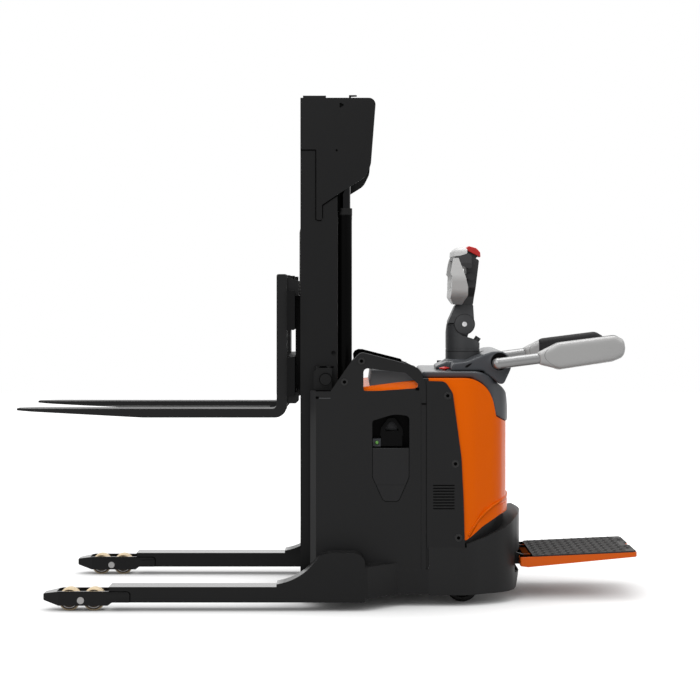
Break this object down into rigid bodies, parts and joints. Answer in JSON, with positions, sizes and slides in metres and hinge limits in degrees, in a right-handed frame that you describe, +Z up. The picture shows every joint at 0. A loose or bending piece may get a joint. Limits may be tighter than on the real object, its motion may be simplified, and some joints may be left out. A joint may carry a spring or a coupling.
{
  "type": "electric platform stacker",
  "caption": "Pedestrian and ride-on pallet stacker: straddle legs, sliding mast with fork carriage, tiller steering, folding platform and side restraint arms.",
  "frame": {"origin": "on the floor under the centre of the overall box, forks at their pictured height", "axes": "+X towards the platform and operator, +Y to the operator's right, +Z up"},
  "size_m": [2.394, 1.003, 1.944],
  "materials": {
    "black_paint": "satin black powder coat",
    "orange_gloss": "glossy orange moulding",
    "orange_paint": "orange paint",
    "console_grey": "grained mid grey moulding",
    "dark_moulding": "dark textured moulding",
    "pad_grey": "light grey soft moulding",
    "grip_grey": "light grey moulding",
    "head_grey": "dark grey moulding",
    "red_button": "glossy red cap",
    "bright_steel": "bright steel",
    "dark_steel": "oiled steel",
    "chrome_rod": "hard chrome",
    "cream_tyre": "cream polyurethane",
    "dark_tyre": "dark rubber",
    "mat_rubber": "ribbed dark rubber",
    "battery_plastic": "moulded cells",
    "plug_grey": "moulded plug"
  },
  "bodies": {
    "chassis": {"chassis_frame": "black_paint", "left_leg": "black_paint", "right_leg": "black_paint", "bogie_pins": "bright_steel", "outer_mast": "black_paint", "mast_guards": "black_paint", "lift_barrels": "black_paint", "left_door": "black_paint", "right_door": "black_paint", "connector_pocket": "dark_moulding", "left_panel": "black_paint", "right_panel": "black_paint", "body_screws": "dark_steel", "motor_hood": "orange_gloss", "rear_skirt": "dark_moulding", "top_console": "console_grey", "tiller_saddle": "console_grey", "battery": "battery_plastic", "battery_cover": "orange_gloss", "battery_lid": "console_grey", "hydraulic_unit": "dark_steel"},
    "inner_mast": {"inner_mast": "black_paint", "lift_rods": "chrome_rod", "free_lift_barrel": "black_paint", "lift_chains": "dark_steel"},
    "free_lift_ram": {"free_lift_ram": "chrome_rod"},
    "chain_sheaves": {"chain_sheaves": "bright_steel"},
    "carriage": {"fork_carriage": "black_paint", "left_fork": "black_paint", "right_fork": "black_paint"},
    "lower_mast_rollers": {"lower_mast_rollers": "bright_steel"},
    "upper_mast_rollers": {"upper_mast_rollers": "bright_steel"},
    "battery_connector": {"battery_connector": "plug_grey"},
    "emergency_stop": {"emergency_stop": "red_button"},
    "key_switch": {"key_switch": "head_grey"},
    "tiller_turret": {"tiller_turret": "console_grey"},
    "tiller": {"tiller_arm": "head_grey", "tiller_head": "head_grey", "grip_frame": "grip_grey"},
    "belly_button": {"belly_button": "red_button"},
    "throttle": {"throttle": "head_grey"},
    "lift_rocker": {"lift_rocker": "head_grey"},
    "left_restraint": {"left_arm": "pad_grey", "left_pad": "pad_grey"},
    "right_restraint": {"right_arm": "pad_grey", "right_pad": "pad_grey"},
    "platform": {"platform": "orange_paint", "platform_mat": "mat_rubber"},
    "left_castor": {"left_castor": "black_paint"},
    "right_castor": {"right_castor": "black_paint"},
    "left_castor_wheel": {"left_castor_wheel": "dark_tyre"},
    "right_castor_wheel": {"right_castor_wheel": "dark_tyre"},
    "drive_unit": {"drive_unit": "dark_steel"},
    "drive_wheel": {"drive_wheel": "dark_tyre"},
    "left_bogie": {"left_bogie": "black_paint"},
    "right_bogie": {"right_bogie": "black_paint"},
    "left_front_roller": {"left_front_roller": "cream_tyre"},
    "left_rear_roller": {"left_rear_roller": "cream_tyre"},
    "right_front_roller": {"right_front_roller": "cream_tyre"},
    "right_rear_roller": {"right_rear_roller": "cream_tyre"}
  },
  "joints": [
    {"name": "inner_mast_lift", "type": "slide", "parent": "chassis", "child": "inner_mast", "axis": [0, 0, 1], "range_m": [0, 1.3]},
    {"name": "carriage_lift", "type": "slide", "parent": "inner_mast", "child": "carriage", "axis": [0, 0, 1], "range_m": [-0.62, 0.6], "deforming": ["lift_chains"]},
    {"name": "free_ram_lift", "type": "slide", "parent": "inner_mast", "child": "free_lift_ram", "axis": [0, 0, 1], "range_m": [-0.312, 0.302]},
    {"name": "sheave_spin", "type": "hinge", "parent": "free_lift_ram", "child": "chain_sheaves", "pos_m": [-0.0595, 0, 1.42], "axis": [0, 1, 0], "range_deg": [-358, 358]},
    {"name": "lower_roller_spin", "type": "hinge", "parent": "carriage", "child": "lower_mast_rollers", "pos_m": [-0.0345, 0, 0.88], "axis": [0, 1, 0], "continuous": true},
    {"name": "upper_roller_spin", "type": "hinge", "parent": "carriage", "child": "upper_mast_rollers", "pos_m": [-0.0345, 0, 1.112], "axis": [0, 1, 0], "continuous": true},
    {"name": "connector_pull", "type": "slide", "parent": "chassis", "child": "battery_connector", "axis": [0, -1, 0], "range_m": [0, 0.05]},
    {"name": "stop_press", "type": "slide", "parent": "chassis", "child": "emergency_stop", "axis": [0, 0, -1], "range_m": [0, 0.005]},
    {"name": "key_turn", "type": "hinge", "parent": "chassis", "child": "key_switch", "pos_m": [0.4515, 0.19, 0.886], "axis": [0, 0, 1], "range_deg": [0, 90]},
    {"name": "tiller_steer", "type": "hinge", "parent": "chassis", "child": "tiller_turret", "pos_m": [0.5335, 0, 0.92], "axis": [0, 0, 1], "range_deg": [-75, 75]},
    {"name": "tiller_tilt", "type": "hinge", "parent": "tiller_turret", "child": "tiller", "pos_m": [0.538, 0, 1.0627], "axis": [0, 1, 0], "range_deg": [0, 55], "stiffness_Nm_per_rad": 14, "springref_deg": -68.75},
    {"name": "belly_press", "type": "slide", "parent": "tiller", "child": "belly_button", "axis": [-0.4648, 0, -0.8854], "range_m": [0, 0.01], "stiffness_N_per_m": 900, "springref_m": -0.006},
    {"name": "throttle_turn", "type": "hinge", "parent": "tiller", "child": "throttle", "pos_m": [0.5625, 0, 1.25], "axis": [0, 1, 0], "range_deg": [-30, 30], "stiffness_Nm_per_rad": 0.6},
    {"name": "rocker_press", "type": "hinge", "parent": "tiller", "child": "lift_rocker", "pos_m": [0.5755, 0, 1.216], "axis": [0, 1, 0], "range_deg": [-7, 7], "stiffness_Nm_per_rad": 0.4},
    {"name": "left_arm_fold", "type": "hinge", "parent": "chassis", "child": "left_restraint", "pos_m": [0.6515, -0.265, 0.916], "axis": [0, -1, 0], "range_deg": [0, 80]},
    {"name": "right_arm_fold", "type": "hinge", "parent": "chassis", "child": "right_restraint", "pos_m": [0.6515, 0.265, 0.916], "axis": [0, -1, 0], "range_deg": [0, 80]},
    {"name": "platform_fold", "type": "hinge", "parent": "chassis", "child": "platform", "pos_m": [0.7805, 0, 0.15], "axis": [0, -1, 0], "range_deg": [0, 85]},
    {"name": "drive_steer", "type": "hinge", "parent": "chassis", "child": "drive_unit", "pos_m": [0.5335, 0, 0.342], "axis": [0, 0, 1], "range_deg": [-75, 75]},
    {"name": "drive_wheel_spin", "type": "hinge", "parent": "drive_unit", "child": "drive_wheel", "pos_m": [0.5335, 0, 0.115], "axis": [0, 1, 0], "continuous": true},
    {"name": "left_castor_swivel", "type": "hinge", "parent": "chassis", "child": "left_castor", "pos_m": [0.4805, -0.259, 0.172], "axis": [0, 0, 1], "continuous": true},
    {"name": "left_castor_spin", "type": "hinge", "parent": "left_castor", "child": "left_castor_wheel", "pos_m": [0.5155, -0.259, 0.0625], "axis": [0, 1, 0], "continuous": true},
    {"name": "left_bogie_rock", "type": "hinge", "parent": "chassis", "child": "left_bogie", "pos_m": [-0.9185, -0.4485, 0.042], "axis": [0, 1, 0], "range_deg": [-6, 6]},
    {"name": "left_front_roller_spin", "type": "hinge", "parent": "left_bogie", "child": "left_front_roller", "pos_m": [-0.9643, -0.4485, 0.042], "axis": [0, 1, 0], "continuous": true},
    {"name": "left_rear_roller_spin", "type": "hinge", "parent": "left_bogie", "child": "left_rear_roller", "pos_m": [-0.8727, -0.4485, 0.042], "axis": [0, 1, 0], "continuous": true},
    {"name": "right_castor_swivel", "type": "hinge", "parent": "chassis", "child": "right_castor", "pos_m": [0.4805, 0.259, 0.172], "axis": [0, 0, 1], "continuous": true},
    {"name": "right_castor_spin", "type": "hinge", "parent": "right_castor", "child": "right_castor_wheel", "pos_m": [0.5155, 0.259, 0.0625], "axis": [0, 1, 0], "continuous": true},
    {"name": "right_bogie_rock", "type": "hinge", "parent": "chassis", "child": "right_bogie", "pos_m": [-0.9185, 0.4485, 0.042], "axis": [0, 1, 0], "range_deg": [-6, 6]},
    {"name": "right_front_roller_spin", "type": "hinge", "parent": "right_bogie", "child": "right_front_roller", "pos_m": [-0.9643, 0.4485, 0.042], "axis": [0, 1, 0], "continuous": true},
    {"name": "right_rear_roller_spin", "type": "hinge", "parent": "right_bogie", "child": "right_rear_roller", "pos_m": [-0.8727, 0.4485, 0.042], "axis": [0, 1, 0], "continuous": true}
  ],
  "couplings": [
    {"joint": "free_ram_lift", "follows": "carriage_lift", "ratio": 0.5},
    {"joint": "sheave_spin", "follows": "carriage_lift", "rad_per_m": 10},
    {"joint": "tiller_steer", "follows": "drive_steer", "ratio": 1}
  ]
}
